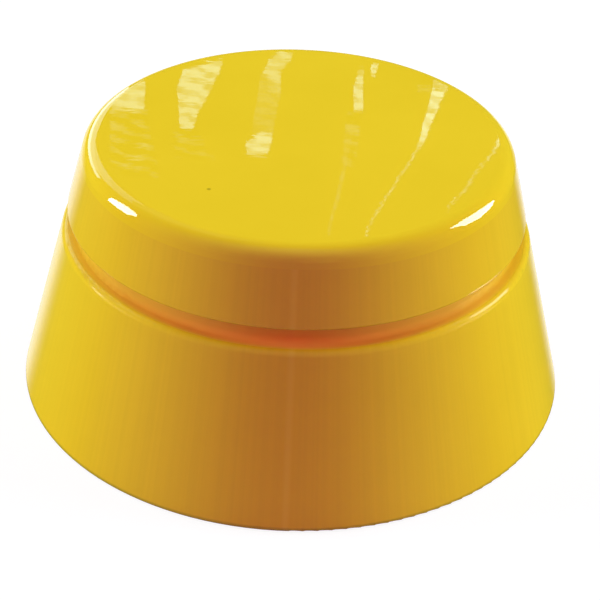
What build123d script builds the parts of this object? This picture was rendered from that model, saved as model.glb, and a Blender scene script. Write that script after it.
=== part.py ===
from build123d import *
from math import atan, cos
import os

# A raised pavement marker: a round drive-over traffic button. A bolt-down base carries a
# screw-on cap that hides the anchor bolts. Millimetres, +Z up, origin at the centre of the
# underside, on the road surface.

# ---------------------------------------------------------------- driving dimensions
# Outside shape: skirt and cap share one cone, cut by a groove
base_diameter = 200.0
crown_diameter = 150.0  # where the side's cone would meet the flat top
ledge_height = 61.5
groove_height = 7.0
cap_height = 26.5
neck_setback = 4.2  # from the cap's rim in to the neck
crown_edge = 6.0
shoulder_edge = 2.5
neck_cove = 1.8
rim_edge = 0.8
foot_edge = 0.5

# Base shell
skirt_wall = 4.0
ledge_wall = 4.0
neck_wall = 4.0
collar_lap = 4.3  # how far the collar reaches up inside the cap
spigot_step = 6.8  # from the collar in to the spigot
spigot_wall = 4.0
spigot_gap = 2.0  # below the crown's underside

# Cap
crown_plate = 5.0
lip_clearance = 0.7  # between the collar and the cap's lip
thread_clearance = 0.5  # between a thread ridge's crest and the wall it faces
cap_corner = 3.6
pad_wall = 2.5
pad_wall_height = 3.0

# Thread: short ridges on the spigot, and the same inside the cap
thread_starts = 4
thread_lead = 24.0
thread_depth = 1.9
ridge_root = 2.6
ridge_crest = 1.2
ridge_start = 6.0  # degrees from the keys
ridge_margin = 1.3  # from the ridges to the spigot's top and to the cap's shoulder

# Slip ring and seal
slip_ring_thickness = 1.2
seat_clearance = 0.3  # below and above the slip ring
key_count = 4
key_width = 8.0
key_height = 3.1
key_thickness = 2.4
key_clearance = 0.4
seal_section = 2.0
seal_room = 0.15

# Bottom plate, bedding pad and anchor holes
pad_thickness = 3.0
bedding_gap = 1.0
plate_thickness = 6.0
plate_clearance = 0.4
bolt_count = 4
bolt_circle_diameter = 100.0
bolt_hole_diameter = 13.5
sleeve_wall = 2.25
sleeve_height = 26.0
boss_wall = 3.4
fit_clearance = 0.1
sleeve_room = 0.5
hub_pin_diameter = 17.0
hub_pin_height = 12.0

# Rib core
hub_diameter = 30.0
hub_clearance = 0.25
core_rib = 8.0
rib_gap = 0.2

# Load plate, its screws and their inserts
load_plate_thickness = 3.0
load_plate_gap = 0.6
access_hole_diameter = 27.0
insert_offset = 30.0  # from the marker's axis
plate_screw_diameter = 5.0
plate_screw_head = 10.0
plate_screw_length = 13.0
insert_diameter = 7.0
insert_length = 10.0
insert_boss_wall = 2.6

# Shell screws, up through the bottom plate into the shell's columns
shell_screw_diameter = 4.2
shell_screw_head = 9.0
shell_screw_head_height = 3.0
shell_screw_length = 22.0
column_diameter = 11.0
column_web = 3.0
drive_radius = 2.6  # to the corners of the screws' hexagon sockets
drive_depth = 1.8

# Impact pad
impact_pad_thickness = 4.6
impact_pad_gap = 0.4
impact_pad_diameter = 121.2
impact_pad_edge = 1.0
relief_count = 8
relief_diameter = 12.0
relief_offset = 42.0  # from the marker's axis

bite = 1.0  # how far a rib runs into the wall that it joins

# ---------------------------------------------------------------- derived dimensions
base_radius = base_diameter / 2
rim_height = ledge_height + groove_height
total_height = rim_height + cap_height
taper = (base_diameter - crown_diameter) / 2 / total_height
draft = atan(taper)


def side_radius(height):
    """Radius of the outside cone at a height."""
    return base_radius - taper * height


def skirt_inside(height):
    """Radius of the skirt's inner face at a height."""
    return side_radius(height) - skirt_wall / cos(draft)


neck_radius = side_radius(rim_height) - neck_setback
spigot_radius = neck_radius - spigot_step
spigot_inside = spigot_radius - spigot_wall

ledge_underside = ledge_height - ledge_wall
collar_top = rim_height + collar_lap
collar_underside = collar_top - neck_wall
crown_underside = total_height - crown_plate
spigot_top = crown_underside - spigot_gap

ridge_radius = spigot_radius + thread_depth
bore_radius = ridge_radius + thread_clearance
cap_ridge_radius = spigot_radius + thread_clearance
thread_pitch = thread_lead / thread_starts
lip_radius = neck_radius + lip_clearance
slip_ring_bottom = collar_top + seat_clearance
slip_ring_top = slip_ring_bottom + slip_ring_thickness
cap_shoulder = slip_ring_top + seat_clearance

cap_ridge_middle = cap_shoulder + ridge_margin + ridge_root / 2
base_ridge_middle = cap_ridge_middle + thread_pitch / 2
ridge_rise = spigot_top - ridge_margin - ridge_root / 2 - base_ridge_middle

slip_ring_inside = ridge_radius + seat_clearance
slip_ring_outside = neck_radius - key_clearance
key_outside = slip_ring_outside - key_clearance
gland_width = seal_section + 2 * seal_room
gland_middle = rim_height + (collar_top - rim_height) / 2
seal_radius = lip_radius - 2 * seal_room - seal_section / 2
gland_radius = seal_radius - seal_section / 2 - seal_room

plate_top = pad_thickness + plate_thickness
bolt_radius = bolt_circle_diameter / 2
bolt_angle = 180 / bolt_count
sleeve_radius = bolt_hole_diameter / 2 + sleeve_wall
boss_radius = sleeve_radius + fit_clearance + boss_wall
hub_pin_radius = hub_pin_diameter / 2
hub_radius = hub_diameter / 2

impact_pad_bottom = crown_underside - impact_pad_thickness
load_plate_top = impact_pad_bottom - impact_pad_gap
core_top = load_plate_top - load_plate_thickness
load_plate_radius = spigot_inside - load_plate_gap
insert_radius = insert_diameter / 2
insert_boss_radius = insert_radius + insert_boss_wall
plate_screw_radius = plate_screw_diameter / 2
shell_screw_radius = shell_screw_diameter / 2
column_radius = column_diameter / 2
column_circle_radius = skirt_inside(ledge_underside) + bite - column_radius


def round_corner(sketch, x, z, radius):
    """Round the corner of a profile that lies at (x, z)."""
    fillet(sketch.vertices().sort_by_distance((x, z))[0], radius)


def finish(builder, label):
    """Label a finished piece and write its file."""
    builder.part.label = label
    export_step(builder.part, f"parts/{label}.step")


def thread_ridge(root_radius, crest_radius, middle):
    """One thread ridge: a trapezoid swept along a right-hand helix."""
    with BuildPart() as ridge:
        with BuildLine():
            Helix(
                pitch=thread_lead,
                height=ridge_rise,
                radius=root_radius,
                center=(0, 0, middle),
            )
        with BuildSketch(Plane.XZ):
            Polygon(
                (root_radius, middle - ridge_root / 2),
                (crest_radius, middle - ridge_crest / 2),
                (crest_radius, middle + ridge_crest / 2),
                (root_radius, middle + ridge_root / 2),
                align=None,
            )
        sweep(is_frenet=True)
    return ridge.part


def socket_screw(head_radius, foot_radius, head_height, shank_radius, shank_length):
    """A screw that points down, its head's top at z = 0, with a hexagon socket."""
    with BuildPart() as screw:
        with BuildSketch(Plane.XZ):
            Polygon(
                (0, 0),
                (head_radius, 0),
                (foot_radius, -head_height),
                (0, -head_height),
                align=None,
            )
            Polygon(
                (0, 0),
                (shank_radius, 0),
                (shank_radius, shank_radius - shank_length),
                (0, -shank_length),
                align=None,
            )
        revolve(axis=Axis.Z)
        with BuildSketch():
            RegularPolygon(drive_radius, 6)
        extrude(amount=-drive_depth, mode=Mode.SUBTRACT)
    return screw.part


os.makedirs("parts", exist_ok=True)

# ---------------------------------------------------------------- base shell
base_ridge = thread_ridge(spigot_radius - bite / 2, ridge_radius, base_ridge_middle)

with BuildPart() as shell_web:
    with BuildSketch(Plane.XZ):
        Polygon(
            (column_circle_radius, plate_top),
            (skirt_inside(plate_top) + bite, plate_top),
            (skirt_inside(ledge_underside) + bite, ledge_underside + bite),
            (column_circle_radius, ledge_underside + bite),
            align=None,
        )
    extrude(amount=column_web / 2, both=True)

with BuildPart() as base_shell:
    with BuildSketch(Plane.XZ) as profile:
        with BuildLine():
            Polyline(
                (base_radius, 0),
                (side_radius(ledge_height), ledge_height),
                (neck_radius, ledge_height),
                (neck_radius, collar_top),
                (spigot_radius, collar_top),
                (spigot_radius, spigot_top),
                (spigot_inside, spigot_top),
                (spigot_inside, collar_underside),
                (neck_radius - neck_wall, collar_underside),
                (neck_radius - neck_wall, ledge_underside),
                (skirt_inside(ledge_underside), ledge_underside),
                (skirt_inside(0), 0),
                close=True,
            )
        make_face()
        round_corner(profile, base_radius, 0, foot_edge)
        round_corner(profile, side_radius(ledge_height), ledge_height, shoulder_edge)
        round_corner(profile, neck_radius, ledge_height, neck_cove)
        round_corner(profile, spigot_radius, spigot_top, spigot_wall / 4)
        with Locations((neck_radius, gland_middle)):
            Rectangle(2 * (neck_radius - gland_radius), gland_width, mode=Mode.SUBTRACT)
    revolve(axis=Axis.Z)
    with PolarLocations(0, thread_starts, start_angle=ridge_start):
        add(base_ridge)
    with BuildSketch(Plane.XY.offset(plate_top)):
        with PolarLocations(column_circle_radius, bolt_count, start_angle=bolt_angle):
            Circle(column_radius)
    extrude(amount=ledge_underside + bite - plate_top)
    with PolarLocations(0, bolt_count, start_angle=bolt_angle):
        add(shell_web.part)
    with BuildSketch(Plane.XY.offset(plate_top)):
        with PolarLocations(column_circle_radius, bolt_count, start_angle=bolt_angle):
            Circle(shell_screw_radius + fit_clearance)
    extrude(amount=shell_screw_length, mode=Mode.SUBTRACT)

finish(base_shell, "base_shell")

# ---------------------------------------------------------------- bottom plate
with BuildPart() as bottom_plate:
    with BuildSketch(Plane.XZ):
        Polygon(
            (0, pad_thickness),
            (skirt_inside(pad_thickness) - plate_clearance, pad_thickness),
            (skirt_inside(plate_top) - plate_clearance, plate_top),
            (hub_pin_radius, plate_top),
            (hub_pin_radius, plate_top + hub_pin_height),
            (0, plate_top + hub_pin_height),
            align=None,
        )
    revolve(axis=Axis.Z)
    with BuildSketch(Plane.XY.offset(pad_thickness)):
        with PolarLocations(bolt_radius, bolt_count, start_angle=bolt_angle):
            Circle(boss_radius)
    extrude(amount=sleeve_height - pad_thickness)
    with BuildSketch(Plane.XY.offset(pad_thickness)):
        with PolarLocations(bolt_radius, bolt_count, start_angle=bolt_angle):
            Circle(sleeve_radius + fit_clearance)
    extrude(amount=sleeve_height, mode=Mode.SUBTRACT)
    with BuildSketch(Plane.XY.offset(pad_thickness)):
        with PolarLocations(column_circle_radius, bolt_count, start_angle=bolt_angle):
            Circle(shell_screw_radius + fit_clearance)
    extrude(amount=plate_thickness, mode=Mode.SUBTRACT)
    with BuildSketch(Plane.XY.offset(pad_thickness)):
        with PolarLocations(column_circle_radius, bolt_count, start_angle=bolt_angle):
            Circle(shell_screw_head / 2 + plate_clearance)
    extrude(amount=shell_screw_head_height, mode=Mode.SUBTRACT)

finish(bottom_plate, "bottom_plate")

# ---------------------------------------------------------------- bedding pad
with BuildPart() as bedding_pad:
    with BuildSketch():
        Circle(skirt_inside(pad_thickness) - bedding_gap)
        with PolarLocations(bolt_radius, bolt_count, start_angle=bolt_angle):
            Circle(sleeve_radius + sleeve_room, mode=Mode.SUBTRACT)
    extrude(amount=pad_thickness)

finish(bedding_pad, "bedding_pad")

# ---------------------------------------------------------------- anchor sleeves
with BuildPart() as anchor_sleeves:
    with BuildSketch():
        with PolarLocations(bolt_radius, bolt_count, start_angle=bolt_angle):
            Circle(sleeve_radius)
            Circle(bolt_hole_diameter / 2, mode=Mode.SUBTRACT)
    extrude(amount=sleeve_height)

finish(anchor_sleeves, "anchor_sleeves")

# ---------------------------------------------------------------- shell screws
shell_screw = socket_screw(
    shell_screw_head / 2,
    shell_screw_head / 2,
    shell_screw_head_height,
    shell_screw_radius,
    shell_screw_length,
)
with BuildPart() as shell_screws:
    with Locations(Plane((0, 0, pad_thickness), z_dir=(0, 0, -1))):
        with PolarLocations(column_circle_radius, bolt_count, start_angle=bolt_angle):
            add(shell_screw)

finish(shell_screws, "shell_screws")

# ---------------------------------------------------------------- rib core
with BuildPart() as rib_outline:
    with BuildSketch(Plane.XZ):
        Polygon(
            (hub_radius - bite, plate_top),
            (skirt_inside(plate_top) - plate_clearance, plate_top),
            (skirt_inside(ledge_underside) - plate_clearance, ledge_underside - rib_gap),
            (load_plate_radius, ledge_underside - rib_gap),
            (load_plate_radius, core_top),
            (hub_radius - bite, core_top),
            align=None,
        )
    extrude(amount=core_rib / 2, both=True)

with BuildPart() as rib_core:
    with BuildSketch(Plane.XY.offset(plate_top)):
        Circle(hub_radius)
        with PolarLocations(insert_offset, bolt_count):
            Circle(insert_boss_radius)
    extrude(amount=core_top - plate_top)
    with PolarLocations(0, bolt_count):
        add(rib_outline.part)
    with BuildSketch(Plane.XY.offset(plate_top)):
        Circle(hub_pin_radius + hub_clearance)
    extrude(amount=core_top - plate_top, mode=Mode.SUBTRACT)
    with BuildSketch(Plane.XY.offset(core_top)):
        with PolarLocations(insert_offset, bolt_count):
            Circle(insert_radius)
    extrude(amount=-insert_length, mode=Mode.SUBTRACT)
    with BuildSketch(Plane.XY.offset(core_top)):
        with PolarLocations(insert_offset, bolt_count):
            Circle(plate_screw_radius + fit_clearance)
    extrude(amount=-plate_screw_length, mode=Mode.SUBTRACT)

finish(rib_core, "rib_core")

# ---------------------------------------------------------------- thread inserts
with BuildPart() as thread_inserts:
    with BuildSketch(Plane.XY.offset(core_top)):
        with PolarLocations(insert_offset, bolt_count):
            Circle(insert_radius)
            Circle(plate_screw_radius + fit_clearance, mode=Mode.SUBTRACT)
    extrude(amount=-insert_length)

finish(thread_inserts, "thread_inserts")

# ---------------------------------------------------------------- load plate
with BuildPart() as load_plate:
    with BuildSketch(Plane.XY.offset(core_top)):
        Circle(load_plate_radius)
        Circle(hub_pin_radius + hub_clearance, mode=Mode.SUBTRACT)
        with PolarLocations(bolt_radius, bolt_count, start_angle=bolt_angle):
            Circle(access_hole_diameter / 2, mode=Mode.SUBTRACT)
    extrude(amount=load_plate_thickness)
    with Locations(Plane.XY.offset(load_plate_top)):
        with PolarLocations(insert_offset, bolt_count):
            CounterSinkHole(
                plate_screw_radius + fit_clearance,
                plate_screw_head / 2 + fit_clearance,
                counter_sink_angle=90,
            )

finish(load_plate, "load_plate")

# ---------------------------------------------------------------- plate screws
plate_screw = socket_screw(
    plate_screw_head / 2,
    plate_screw_radius,
    (plate_screw_head - plate_screw_diameter) / 2,
    plate_screw_radius,
    plate_screw_length,
)
with BuildPart() as plate_screws:
    with Locations(Plane.XY.offset(load_plate_top)):
        with PolarLocations(insert_offset, bolt_count):
            add(plate_screw)

finish(plate_screws, "plate_screws")

# ---------------------------------------------------------------- neck seal
with BuildPart() as neck_seal:
    with BuildSketch(Plane.XZ):
        with Locations((seal_radius, gland_middle)):
            Circle(seal_section / 2)
    revolve(axis=Axis.Z)

finish(neck_seal, "neck_seal")

# ---------------------------------------------------------------- slip ring
with BuildPart() as slip_ring:
    with BuildSketch(Plane.XY.offset(slip_ring_bottom)):
        Circle(slip_ring_outside)
        Circle(slip_ring_inside, mode=Mode.SUBTRACT)
    extrude(amount=slip_ring_thickness)
    with BuildSketch(Plane.XY.offset(slip_ring_top)):
        with PolarLocations(key_outside - key_thickness / 2, key_count):
            Rectangle(key_thickness, key_width)
    extrude(amount=key_height)

finish(slip_ring, "slip_ring")

# ---------------------------------------------------------------- top cap
cap_ridge = thread_ridge(bore_radius + bite / 2, cap_ridge_radius, cap_ridge_middle)

with BuildPart() as top_cap:
    with BuildSketch(Plane.XZ) as profile:
        with BuildLine():
            Polyline(
                (0, total_height),
                (crown_diameter / 2, total_height),
                (side_radius(rim_height), rim_height),
                (lip_radius, rim_height),
                (lip_radius, cap_shoulder),
                (bore_radius, cap_shoulder),
                (bore_radius, crown_underside - cap_corner),
                (bore_radius - cap_corner, crown_underside),
                (0, crown_underside),
                close=True,
            )
        make_face()
        round_corner(profile, crown_diameter / 2, total_height, crown_edge)
        round_corner(profile, side_radius(rim_height), rim_height, rim_edge)
        round_corner(profile, lip_radius, rim_height, rim_edge)
    revolve(axis=Axis.Z)
    with BuildSketch(Plane.XY.offset(crown_underside)):
        Circle(impact_pad_diameter / 2 + fit_clearance + pad_wall)
        Circle(impact_pad_diameter / 2 + fit_clearance, mode=Mode.SUBTRACT)
    extrude(amount=-pad_wall_height)
    with PolarLocations(0, thread_starts, start_angle=ridge_start):
        add(cap_ridge)
    with BuildSketch(Plane.XY.offset(cap_shoulder)):
        with PolarLocations(key_outside - key_thickness, key_count):
            Rectangle(2 * (key_thickness + key_clearance), key_width + 2 * key_clearance)
    extrude(amount=key_height + key_clearance, mode=Mode.SUBTRACT)

finish(top_cap, "top_cap")

# ---------------------------------------------------------------- impact pad
with BuildPart() as impact_pad:
    with BuildSketch(Plane.XY.offset(impact_pad_bottom)):
        Circle(impact_pad_diameter / 2)
        with PolarLocations(relief_offset, relief_count):
            Circle(relief_diameter / 2, mode=Mode.SUBTRACT)
    extrude(amount=crown_underside - impact_pad_bottom)
    outer = impact_pad.edges().filter_by(GeomType.CIRCLE)
    outer = outer.filter_by(lambda edge: edge.radius > relief_offset)
    chamfer(outer.sort_by(Axis.Z)[0], impact_pad_edge)

finish(impact_pad, "impact_pad")
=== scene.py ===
import math

import bpy
from mathutils import Matrix, Vector


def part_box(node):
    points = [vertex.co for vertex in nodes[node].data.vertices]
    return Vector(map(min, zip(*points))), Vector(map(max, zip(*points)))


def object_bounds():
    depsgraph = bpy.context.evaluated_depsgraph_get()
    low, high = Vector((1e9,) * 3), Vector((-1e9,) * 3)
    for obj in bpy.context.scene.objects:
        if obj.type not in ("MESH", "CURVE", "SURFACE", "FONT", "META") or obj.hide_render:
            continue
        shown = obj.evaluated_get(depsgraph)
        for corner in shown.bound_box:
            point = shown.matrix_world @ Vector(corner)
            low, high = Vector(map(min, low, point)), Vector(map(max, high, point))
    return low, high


# The raised pavement marker: its finish, the studio round it, and the camera. Metres.

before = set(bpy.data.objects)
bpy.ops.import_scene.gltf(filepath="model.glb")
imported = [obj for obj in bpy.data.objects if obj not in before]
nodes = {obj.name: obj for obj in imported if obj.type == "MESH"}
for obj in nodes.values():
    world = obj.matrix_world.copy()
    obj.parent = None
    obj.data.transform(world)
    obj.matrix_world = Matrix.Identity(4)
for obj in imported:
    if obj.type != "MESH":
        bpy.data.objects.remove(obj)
cad_low, cad_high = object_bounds()
scene = bpy.context.scene

base_radius = cad_high.x
total_height = cad_high.z
crown_foot = total_height - 0.0065  # below it lie the walls, above it the crown's round edge
groove_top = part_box("top_cap")[0].z
groove_bottom = 0.0600  # a little below the ledge, so that its inner part takes the painted shade too
groove_floor = 0.806  # shares of base_radius: the groove's painted shade and bounced light are full inside this one
groove_mouth = 0.824  # and gone outside this one


# ---------------------------------------------------------------- node helpers
class Shader:
    """The node tree of a material or world, with short calls to add and join nodes."""

    def __init__(self, owner):
        owner.use_nodes = True
        self.owner = owner
        self.tree = owner.node_tree
        self.tree.nodes.clear()

    def add(self, kind, values=None, **settings):
        """A new node: values feed its inputs, settings are its own properties."""
        node = self.tree.nodes.new(kind)
        for key, value in settings.items():
            setattr(node, key, value)
        for key, value in (values or {}).items():
            if isinstance(value, bpy.types.NodeSocket):
                self.tree.links.new(value, node.inputs[key])
            else:
                node.inputs[key].default_value = value
        return node

    def end_with(self, kind, values):
        """Add the last shader node, join it to the output, and give the owner back."""
        surface = self.add(kind, values).outputs[0]
        output = "World" if isinstance(self.owner, bpy.types.World) else "Material"
        self.add("ShaderNodeOutput" + output, {"Surface": surface})
        return self.owner

    def math(self, operation, first, second=0.0, clamp=False):
        values = {0: first, 1: second}
        return self.add("ShaderNodeMath", values, operation=operation, use_clamp=clamp).outputs[0]

    def vector(self, operation, first, second=(0.0, 0.0, 0.0)):
        """A sum on vectors, which gives a number except where it normalizes."""
        node = self.add("ShaderNodeVectorMath", {0: first, 1: second}, operation=operation)
        return node.outputs["Vector" if operation == "NORMALIZE" else "Value"]

    def axes(self, vector):
        return self.add("ShaderNodeSeparateXYZ", {0: vector}).outputs

    def mix(self, factor, first, second, blend="MIX"):
        values = {0: factor, 6: first, 7: second}
        node = self.add("ShaderNodeMix", values, data_type="RGBA", blend_type=blend)
        return node.outputs[2]

    def multiply(self, first, second):
        return self.mix(1.0, first, second, "MULTIPLY")

    def ramp(self, factor, *stops):
        """A colour ramp with stops of (position, colour)."""
        node = self.add("ShaderNodeValToRGB", {0: factor})
        elements = node.color_ramp.elements
        while len(elements) < len(stops):
            elements.new(0.5)
        for element, (position, color) in zip(elements, stops):
            element.position = position
            element.color = color
        return node.outputs[0]

    def noise(self, vector, scale, detail=2.0, roughness=0.5):
        values = {"Vector": vector, "Scale": scale, "Detail": detail, "Roughness": roughness}
        return self.add("ShaderNodeTexNoise", values).outputs["Fac"]

    def place(self, scale=(1.0, 1.0, 1.0), turn=0.0):
        """The place on the object, scaled, and turned about the upright axis."""
        coords = self.add("ShaderNodeTexCoord").outputs["Object"]
        values = {"Vector": coords, "Scale": scale, "Rotation": (0.0, 0.0, turn)}
        return self.add("ShaderNodeMapping", values).outputs[0]

    def bump(self, height, distance, strength=1.0, normal=None):
        values = {"Height": height, "Distance": distance, "Strength": strength}
        if normal is not None:
            values["Normal"] = normal
        return self.add("ShaderNodeBump", values).outputs[0]


def rgb(red, green, blue):
    return (red, green, blue, 1.0)


def grey(level):
    return rgb(level, level, level)


def new_shader(name):
    return Shader(bpy.data.materials.new(name))


flat = (1.0, 1.0, 0.0)  # a scale that leaves only the place in plan


# ---------------------------------------------------------------- yellow plastic
yellow_low = rgb(0.80, 0.60, 0.018)
yellow_high = rgb(0.86, 0.65, 0.024)
weld_yellow = rgb(0.93, 0.76, 0.09)
weld_core = 0.004  # shares of base_radius, to each side of the middle
weld_edge = 0.016
weld_strength = 0.33
speck_place = (-0.0295, -0.039, total_height)
speck_radius = 0.0009
speck_grey = grey(0.55)
foot_height = 0.0016
foot_shade = rgb(0.42, 0.48, 0.8)
# the groove's colour is painted shade and bounced orange light: deepest at the front and back,
# yellower to the sides
painted_groove_front = rgb(0.94, 0.46, 0.10)
painted_groove_side = rgb(0.76, 0.50, 0.018)
groove_roughness = 0.75
dash_turn = math.radians(-14.0)
dash_stretch = (0.4, 1.0, 1.0)


def mottled_yellow(shader, place, walls, wall_painted_shade):
    """A mottled ground colour, with upright streaks and a painted shade on the walls."""
    mottle = shader.noise(place, scale=28.0, detail=3.0)
    color = shader.mix(mottle, yellow_low, yellow_high)
    heading = shader.vector("NORMALIZE", shader.place(flat))
    streaks = shader.noise(heading, scale=42.0, detail=3.0, roughness=0.7)
    streaks = shader.ramp(streaks, (0.35, grey(0.96)), (0.65, grey(1.0)))
    # painted shade on the walls: the cap's a little darker and more orange than its top, and both
    # a little bluer
    streaks = shader.mix(walls, grey(1.0), shader.multiply(streaks, wall_painted_shade))
    return shader.multiply(color, streaks)


def with_weld_line(shader, color, beside, walls):
    """A faint pale line up the middle of the front and the back wall."""
    weld = shader.ramp(beside, (weld_core, grey(1.0)), (weld_edge, grey(0.0)))
    weld = shader.math("MULTIPLY", weld, shader.math("MULTIPLY", walls, weld_strength))
    return shader.mix(weld, color, weld_yellow)


def with_speck(shader, color, place):
    """One dark speck of dirt on the crown."""
    apart = shader.vector("DISTANCE", place, speck_place)
    apart = shader.math("DIVIDE", apart, speck_radius)
    return shader.multiply(color, shader.ramp(apart, (0.4, speck_grey), (1.0, grey(1.0))))


def with_foot_line(shader, color, height):
    """A thin darker line along the skirt's lowest edge."""
    foot = shader.math("DIVIDE", height, foot_height)
    return shader.multiply(color, shader.ramp(foot, (0.2, foot_shade), (1.0, grey(1.0))))


def groove_mask(shader, height, share):
    """One in the groove and zero elsewhere."""
    inward = shader.ramp(share, (groove_floor, grey(1.0)), (groove_mouth, grey(0.0)))
    over = shader.math("GREATER_THAN", height, groove_bottom)
    under = shader.math("LESS_THAN", height, groove_top)
    return shader.math("MULTIPLY", shader.math("MULTIPLY", over, under), inward)


def moulding_ripple(shader, place):
    """Slow waves with fine dashes over them, which break up what the gloss reflects."""
    waves = shader.noise(place, scale=30.0, detail=1.0)
    dashes = shader.noise(shader.place(dash_stretch, dash_turn), scale=400.0, detail=1.0)
    normal = shader.bump(waves, distance=0.0001, strength=0.5)
    return shader.bump(dashes, distance=0.000008, strength=0.5, normal=normal)


def yellow_plastic(name, smooth, dull, side, wall_painted_shade):
    """Glossy traffic yellow: smooth to dull on top, side on the walls, matt in the groove, with
    painted shade on the walls and painted shade and bounced orange light in the groove.
    """
    shader = new_shader(name)
    place = shader.place()
    axes = shader.axes(place)
    height = axes["Z"]
    beside = shader.math("DIVIDE", shader.math("ABSOLUTE", axes["X"]), base_radius)
    share = shader.math("DIVIDE", shader.vector("LENGTH", shader.place(flat)), base_radius)
    walls = shader.math("LESS_THAN", height, crown_foot)
    inside = groove_mask(shader, height, share)

    color = mottled_yellow(shader, place, walls, wall_painted_shade)
    color = with_weld_line(shader, color, beside, walls)
    color = with_speck(shader, color, place)
    color = with_foot_line(shader, color, height)
    # painted shade and bounced orange light in the groove, deepest at the front and back
    painted_groove = shader.ramp(beside, (0.0, painted_groove_front), (0.8, painted_groove_side))
    color = shader.mix(inside, color, painted_groove)

    haze = shader.noise(place, scale=60.0, detail=4.0)
    rough = shader.ramp(haze, (0.3, grey(smooth)), (0.75, grey(dull)))
    rough = shader.mix(walls, rough, grey(side))
    rough = shader.mix(inside, rough, grey(groove_roughness))
    normal = moulding_ripple(shader, place)
    return shader.end_with(
        "ShaderNodeBsdfPrincipled",
        {"Base Color": color, "Roughness": rough, "Normal": normal, "IOR": 1.5},
    )


# ---------------------------------------------------------------- other materials
def black_plastic():
    """Glass-filled polypropylene: black, with a fine spark-eroded grain."""
    shader = new_shader("black_plastic")
    place = shader.place()
    grain = shader.noise(place, scale=900.0)
    cloud = shader.noise(place, scale=40.0, detail=3.0)
    color = shader.mix(cloud, grey(0.018), grey(0.032))
    rough = shader.ramp(grain, (0.3, grey(0.42)), (0.7, grey(0.6)))
    normal = shader.bump(grain, distance=0.0001, strength=0.6)
    return shader.end_with(
        "ShaderNodeBsdfPrincipled", {"Base Color": color, "Roughness": rough, "Normal": normal}
    )


def rubber(name, roughness):
    """Black rubber with a faint bloom."""
    shader = new_shader(name)
    place = shader.place()
    bloom = shader.noise(place, scale=70.0, detail=5.0)
    color = shader.ramp(bloom, (0.35, grey(0.014)), (0.8, grey(0.04)))
    pores = shader.noise(place, scale=1400.0)
    normal = shader.bump(pores, distance=0.00008, strength=0.5)
    return shader.end_with(
        "ShaderNodeBsdfPrincipled",
        {"Base Color": color, "Roughness": roughness, "Normal": normal},
    )


def metal(name, bright, dark, roughness):
    """Plated or turned metal with fine handling marks."""
    shader = new_shader(name)
    spangle = shader.noise(shader.place(), scale=260.0, detail=3.0)
    color = shader.mix(spangle, dark, bright)
    marks = shader.noise(shader.place((1.0, 8.0, 1.0)), scale=300.0, detail=4.0)
    rough = shader.ramp(marks, (0.3, grey(roughness * 0.8)), (0.7, grey(roughness * 1.3)))
    normal = shader.bump(marks, distance=0.00003, strength=0.3)
    return shader.end_with(
        "ShaderNodeBsdfPrincipled",
        {"Base Color": color, "Roughness": rough, "Normal": normal, "Metallic": 1.0},
    )


def slip_plastic():
    """Natural acetal: waxy off-white."""
    shader = new_shader("slip_plastic")
    cloud = shader.noise(shader.place(), scale=80.0, detail=3.0)
    color = shader.mix(cloud, rgb(0.66, 0.64, 0.57), rgb(0.76, 0.74, 0.68))
    rough = shader.ramp(cloud, (0.3, grey(0.3)), (0.7, grey(0.42)))
    return shader.end_with("ShaderNodeBsdfPrincipled", {"Base Color": color, "Roughness": rough})


# the cap's walls take a deeper painted shade than the skirt's
shell_yellow = yellow_plastic(
    "shell_yellow", smooth=0.12, dull=0.2, side=0.16, wall_painted_shade=rgb(1.0, 1.0, 1.15)
)
cap_yellow = yellow_plastic(
    "cap_yellow", smooth=0.01, dull=0.025, side=0.12, wall_painted_shade=rgb(0.985, 0.945, 1.25)
)
black = black_plastic()
pad_rubber = rubber("pad_rubber", 0.75)
seal_rubber = rubber("seal_rubber", 0.4)
zinc = metal("zinc_steel", rgb(0.62, 0.63, 0.65), rgb(0.47, 0.48, 0.50), 0.32)
screw_steel = metal("screw_steel", rgb(0.66, 0.64, 0.58), rgb(0.5, 0.49, 0.46), 0.25)
brass = metal("brass", rgb(0.78, 0.56, 0.22), rgb(0.62, 0.43, 0.16), 0.28)
finishes = {
    "base_shell": shell_yellow,
    "top_cap": cap_yellow,
    "bottom_plate": black,
    "rib_core": black,
    "bedding_pad": pad_rubber,
    "impact_pad": pad_rubber,
    "neck_seal": seal_rubber,
    "slip_ring": slip_plastic(),
    "anchor_sleeves": zinc,
    "load_plate": zinc,
    "shell_screws": screw_steel,
    "plate_screws": screw_steel,
    "thread_inserts": brass,
}
for name, material in finishes.items():
    slots = nodes[name].data.materials
    slots.clear()
    slots.append(material)


# ---------------------------------------------------------------- camera
camera_lens = 105.2  # this and the sensor's width in millimetres
camera_sensor = 36.0
camera_distance = 0.653
camera_pitch = math.radians(33.4)
camera_roll = math.radians(2.31)
camera_lift = 0.025
camera_aim = (0.0024, 0.0, 0.0268)


def look_from(place, target, roll):
    """The matrix of a camera or lamp at place that looks at target, turned by roll."""
    forward = (Vector(target) - Vector(place)).normalized()
    level = forward.cross(Vector((0.0, 0.0, 1.0))).normalized()
    above = level.cross(forward)
    right = math.cos(roll) * level + math.sin(roll) * above
    up = math.cos(roll) * above - math.sin(roll) * level
    matrix = Matrix((right, up, -forward)).transposed().to_4x4()
    matrix.translation = place
    return matrix


camera_data = bpy.data.cameras.new("camera")
camera_data.lens = camera_lens
camera_data.sensor_width = camera_sensor
camera = bpy.data.objects.new("camera", camera_data)
camera_place = (
    0.0,
    -camera_distance * math.cos(camera_pitch),
    camera_distance * math.sin(camera_pitch) + camera_lift,
)
camera.matrix_world = look_from(camera_place, camera_aim, camera_roll)
scene.collection.objects.link(camera)
scene.camera = camera


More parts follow.
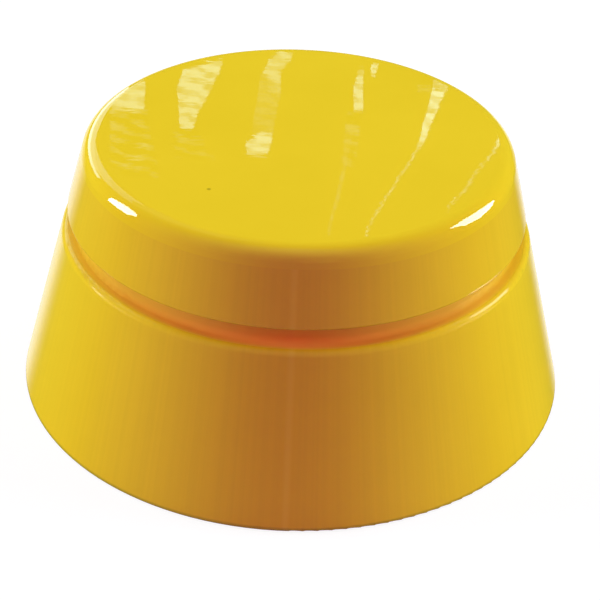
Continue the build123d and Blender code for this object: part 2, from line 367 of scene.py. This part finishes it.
# ---------------------------------------------------------------- lamps, air and floor
middle_height = 0.05
lamp_distance = 2.0
lamp_size = 1.0
air_tint = rgb(1.0, 0.85, 0.7)
air_level = 0.03
floor_size = 40.0
floor_drop = 0.0002  # keeps the ground clear of the pad's underside
floor_paper = rgb(0.16, 0.17, 0.19)
floor_glow = 0.88
painted_bounce_near = (0.13, rgb(0.60, 0.38, 0.25))  # the colour the ground bounces at a distance from the axis: a painted pool of warm light, lighter near the marker
painted_bounce_far = (0.5, rgb(0.20, 0.11, 0.06))


def around(azimuth, reach, height):
    """A place at a reach from the marker's axis: azimuth in degrees from +Y towards +X."""
    turn = math.radians(azimuth)
    return (reach * math.sin(turn), reach * math.cos(turn), height)


def toward(azimuth, elevation, distance):
    """A place seen from the marker's middle, with both angles in degrees."""
    rise = math.radians(elevation)
    height = middle_height + distance * math.sin(rise)
    return around(azimuth, distance * math.cos(rise), height)


def lamp(name, azimuth, elevation, power, color):
    """A square soft lamp aimed at the marker, which lights but isn't mirrored."""
    data = bpy.data.lights.new(name, "AREA")
    data.shape = "SQUARE"
    data.size = lamp_size
    data.color = color
    data.energy = power
    lamp_object = bpy.data.objects.new(name, data)
    place = toward(azimuth, elevation, lamp_distance)
    lamp_object.matrix_world = look_from(place, (0.0, 0.0, middle_height), 0.0)
    lamp_object.visible_glossy = False
    lamp_object.visible_camera = False
    scene.collection.objects.link(lamp_object)


def seen_rays(shader):
    """One for rays that see the backdrop: from the camera, a gloss or a clear body."""
    paths = shader.add("ShaderNodeLightPath").outputs
    seen = shader.math("ADD", paths["Is Camera Ray"], paths["Is Glossy Ray"])
    return shader.math("ADD", seen, paths["Is Transmission Ray"], clamp=True)


def studio_air():
    """A world that lights faintly and warmly, and is white where it is seen."""
    shader = Shader(bpy.data.worlds.new("studio"))
    ambient = shader.add("ShaderNodeBackground", {"Color": air_tint, "Strength": air_level})
    white = shader.add("ShaderNodeBackground", {"Color": grey(1.0), "Strength": 1.0})
    return shader.end_with(
        "ShaderNodeMixShader", {0: seen_rays(shader), 1: ambient.outputs[0], 2: white.outputs[0]}
    )


def floor():
    """A white ground that keeps the marker's shadow and bounces a little warm light, from a
    painted pool of light near the marker that only bounced rays see.
    """
    bpy.ops.mesh.primitive_plane_add(size=floor_size, location=(0.0, 0.0, -floor_drop))
    ground = bpy.context.object
    ground.name = "floor"
    shader = new_shader("floor")
    paper = shader.add("ShaderNodeBsdfDiffuse", {"Color": floor_paper})
    glow = shader.add("ShaderNodeEmission", {"Color": grey(1.0), "Strength": floor_glow})
    lit = shader.add("ShaderNodeAddShader", {0: paper.outputs[0], 1: glow.outputs[0]})
    # painted pool of light: the bounced colour is lighter near the marker and dark far off
    tint = shader.ramp(shader.vector("LENGTH", shader.place()), painted_bounce_near, painted_bounce_far)
    bounce = shader.add("ShaderNodeBsdfDiffuse", {"Color": tint})
    material = shader.end_with(
        "ShaderNodeMixShader", {0: seen_rays(shader), 1: bounce.outputs[0], 2: lit.outputs[0]}
    )
    ground.data.materials.append(material)
    ground.visible_glossy = False


lamp("left_lamp", -90.0, 12.0, 32.0, (0.93, 1.0, 1.0))
lamp("right_lamp", 90.0, 12.0, 29.5, (0.92, 1.0, 1.0))
lamp("back_lamp", -22.0, 12.0, 12.0, (1.0, 0.45, 0.42))
lamp("high_left_lamp", -60.0, 45.0, 19.2, (0.75, 1.0, 1.0))
lamp("high_right_lamp", 62.0, 45.0, 22.8, (0.86, 1.0, 1.0))
lamp("front_lamp", 180.0, 44.0, 9.6, (1.0, 0.03, 0.03))
scene.world = studio_air()
floor()


# ---------------------------------------------------------------- what the gloss reflects
room_radius = 1.75
room_height = 2.2
room_sides = 72
mat_depth = -0.9
wall_dark = rgb(0.10, 0.08, 0.03)
wall_haze = rgb(0.35, 0.28, 0.47)
white_left = math.radians(40.0)  # behind the marker the mat is white, this far to each side
white_right = math.radians(29.0)
white_fade = 0.13
back_wall = 1.5
slit_white = rgb(0.55, 0.95, 1.0)
louvre_scale = 18.0
louvre_lean = math.radians(18.0)
louvre_share = 0.6
pane_stretch = (0.5, 1.0, 1.0)
whole_pane = (0.4, 1.0, 0.25)  # where the pattern turns on, where it is full, its least glow
broken_pane = (0.9, 1.25, 0.0)
sky_white = rgb(0.50, 0.80, 1.0)
window_reach = 1.6
rim_reach = 0.0767
rim_parts = 10
shoulder_reach = 0.0863


def room_paint(name, white_behind):
    """A dim room: a hazy front, darker sides and back, or white behind the marker."""
    shader = new_shader(name)
    heading = shader.vector("NORMALIZE", shader.place(flat))
    front = shader.math("MULTIPLY", shader.axes(heading)["Y"], -1.0, clamp=True)
    color = shader.mix(front, wall_dark, wall_haze)
    if white_behind:
        white_part = 1.0
        for side, turn in ((-1.0, white_left), (1.0, white_right)):
            across = (side * math.cos(turn), -math.sin(turn), 0.0)
            beyond = shader.math("ADD", shader.vector("DOT_PRODUCT", heading, across), 0.5)
            behind = shader.ramp(
                beyond, (0.5 - white_fade, grey(1.0)), (0.5 + white_fade, grey(0.0))
            )
            white_part = shader.math("MULTIPLY", behind, white_part)
        color = shader.mix(white_part, color, grey(1.0))
    return shader.end_with("ShaderNodeEmission", {"Color": color})


def window_light(name, strength, tint, broken):
    """Daylight through a louvred, rippled pane: bars that lean, or only shreds of them."""
    shader = new_shader(name)
    turned = shader.add(
        "ShaderNodeMapping",
        {"Vector": shader.place(), "Rotation": (0.0, louvre_lean, 0.0)},
    ).outputs[0]
    louvres = shader.add(
        "ShaderNodeTexWave",
        {
            "Vector": turned,
            "Scale": louvre_scale,
            "Distortion": 4.0,
            "Detail": 2.0,
            "Detail Scale": 2.0,
        },
        bands_direction="Z",
    ).outputs["Fac"]
    panes = shader.noise(shader.place(pane_stretch), scale=60.0)
    level = shader.math("ADD", shader.math("MULTIPLY", louvres, louvre_share), panes)
    low, high, least = broken_pane if broken else whole_pane
    level = shader.math("MULTIPLY", level, 0.5)  # halved, because a ramp ends at one
    level = shader.ramp(level, (low / 2.0, grey(least)), (high / 2.0, grey(1.0)))
    level = shader.math("MULTIPLY", level, strength)
    return shader.end_with("ShaderNodeEmission", {"Color": tint, "Strength": level})


def plain_light(name, strength, tint):
    """An even glow, for the windows and cards that need no pattern."""
    return new_shader(name).end_with("ShaderNodeEmission", {"Color": tint, "Strength": strength})


def card(name, points, faces, material):
    """A studio card or window that shows in the gloss alone."""
    mesh = bpy.data.meshes.new(name)
    mesh.from_pydata(points, [], faces)
    mesh.materials.append(material)
    card_object = bpy.data.objects.new(name, mesh)
    scene.collection.objects.link(card_object)
    for ray in ("camera", "diffuse", "transmission", "volume_scatter", "shadow"):
        setattr(card_object, f"visible_{ray}", False)


def round_wall(low, high):
    """The points and faces of the room's round wall between two heights."""
    points = []
    for height in (low, high):
        points += [around(360.0 * i / room_sides, room_radius, height) for i in range(room_sides)]
    faces = []
    for i in range(room_sides):
        after = (i + 1) % room_sides
        faces.append((i, after, room_sides + after, room_sides + i))
    return points, faces


def room():
    """Dim walls and ceiling above, and a sunken mat that is white behind the marker."""
    points, faces = round_wall(0.0, room_height)
    ceiling = tuple(range(room_sides, 2 * room_sides))
    card("room_walls", points, faces + [ceiling], room_paint("wall_paint", False))
    points, faces = round_wall(mat_depth, 0.0)
    bottom = tuple(range(room_sides))
    card("room_mat", points, faces + [bottom], room_paint("mat_paint", True))


def slit(name, strength, *rungs, broken=False):
    """A window on the back wall: rungs of (height, left, right), joined bottom to top."""
    points = []
    for height, left, right in rungs:
        points += [(left, back_wall, height), (right, back_wall, height)]
    faces = [(2 * i, 2 * i + 1, 2 * i + 3, 2 * i + 2) for i in range(len(rungs) - 1)]
    card(name, points, faces, window_light(name, strength, slit_white, broken))


def sky_window(name, strength, *corners):
    """A window facing the marker, with its corners at (azimuth, elevation) in degrees."""
    points = [toward(azimuth, elevation, window_reach) for azimuth, elevation in corners]
    card(name, points, [(0, 1, 2, 3)], plain_light(name, strength, sky_white))


def glint(name, strength, reach, *corners):
    """A small bright card close beside the marker, with corners at (azimuth, height)."""
    points = [around(azimuth, reach, height) for azimuth, height in corners]
    card(name, points, [tuple(range(len(points)))], plain_light(name, strength, grey(1.0)))


def rim_band(name, strength, first, last, low, high):
    """A glowing band close beside the rim, between two azimuths and two heights."""
    points = []
    for i in range(rim_parts + 1):
        azimuth = first + (last - first) * i / rim_parts
        points += [around(azimuth, rim_reach, low), around(azimuth, rim_reach, high)]
    faces = [(2 * i, 2 * i + 2, 2 * i + 3, 2 * i + 1) for i in range(rim_parts)]
    card(name, points, faces, plain_light(name, strength, sky_white))


room()

# The windows whose streaks cross the crown, and the shreds of light beside some of them.
slit("window_a", 2.1, (0.82, -0.215, -0.203), (0.833, -0.246, -0.203), (0.86, -0.246, -0.205))
slit("shreds_a", 0.8, (0.86, -0.25, -0.20), (0.96, -0.25, -0.185), broken=True)
slit("shreds_b", 0.6, (0.885, -0.165, -0.135), (0.93, -0.165, -0.11), broken=True)
slit("shreds_f", 0.8, (0.845, 0.060, 0.080), (0.93, 0.055, 0.075), broken=True)
slit("shreds_h", 1.6, (0.797, 0.15, 0.190), (0.815, 0.15, 0.185), broken=True)
slit("window_b", 2.3, (0.785, -0.110, -0.1025), (0.8025, -0.153, -0.107))
slit(
    "window_b_low", 2.1,
    (0.8025, -0.153, -0.107), (0.83, -0.161, -0.119), (0.885, -0.157, -0.142),
)
slit("window_c", 1.6, (0.768, -0.030, -0.012), (0.78, -0.044, -0.017), (0.803, -0.052, -0.031))
slit("window_c_low", 1.4, (0.803, -0.046, -0.027), (0.83, -0.042, -0.026))
slit("window_d", 0.42, (0.803, -0.054, -0.046), (0.83, -0.056, -0.026), (0.885, -0.062, -0.037))
slit("window_e", 2.6, (0.885, -0.052, -0.037), (0.90, -0.070, -0.038), (0.922, -0.067, -0.042))
slit("window_f", 2.2, (0.79, 0.073, 0.080), (0.82, 0.066, 0.079), (0.85, 0.068, 0.080))
slit("window_g", 2.2, (0.785, 0.088, 0.098), (0.797, 0.091, 0.095))
slit("window_h", 3.2, (0.80, 0.170, 0.190), (0.845, 0.166, 0.178), (0.900, 0.154, 0.161))
slit("window_i", 1.6, (0.905, 0.155, 0.158), (1.035, 0.091, 0.094))
slit("window_j", 0.5, (0.87, 0.060, 0.070), (0.93, 0.058, 0.064), (1.035, 0.043, 0.047))
slit("window_k", 3.2, (0.877, 0.261, 0.2665), (0.898, 0.255, 0.259))
slit("window_l", 1.6, (0.898, 0.255, 0.2585), (0.92, 0.245, 0.248), (0.99, 0.200, 0.203))

# The two white spots on the crown's edge, and the thin lights on the ledge's edge.
glint(
    "left_glint", 17.0, rim_reach, (-123.4, 0.0914), (-123.5, 0.0935), (-125.6, 0.0945),
    (-130.2, 0.0958), (-134.6, 0.0946), (-135.1, 0.0931), (-132.5, 0.0917), (-126.8, 0.0915),
)
glint(
    "right_glint", 14.0, rim_reach, (136.5, 0.0955), (129.2, 0.0971), (123.6, 0.0962),
    (116.0, 0.0940), (119.0, 0.0926), (126.0, 0.0918), (132.0, 0.0925),
)
glint(
    "right_shoulder_glint", 4.5, shoulder_reach, (131.0, 0.0680), (127.0, 0.0672), (123.0, 0.0652),
    (118.5, 0.0648), (115.0, 0.0638), (116.9, 0.0616), (121.0, 0.0620), (127.5, 0.0628),
    (132.0, 0.0642),
)
glint(
    "left_shoulder_glint", 3.0, shoulder_reach, (-122.0, 0.0642), (-125.0, 0.0635),
    (-129.0, 0.0628), (-128.5, 0.0612), (-123.4, 0.0618),
)

# The crescent on the crown's left edge: a band beside it, and windows that fade upwards.
rim_band("rim_band", 4.0, -58.0, -112.0, 0.0949, 0.0972)
sky_window("corner_window", 1.8, (-46.0, 15.5), (-12.0, 15.5), (-12.0, 26.0), (-47.0, 31.0))
sky_window("corner_mid", 1.4, (-49.0, 31.0), (-18.0, 28.0), (-19.0, 36.0), (-51.0, 38.0))
sky_window("corner_high", 1.0, (-51.0, 38.0), (-19.0, 36.0), (-19.0, 43.0), (-55.0, 46.0))
sky_window("corner_roof", 0.23, (-55.0, 46.0), (-19.0, 43.0), (-8.0, 66.0), (-50.0, 70.0))

scene.view_settings.view_transform = "Standard"
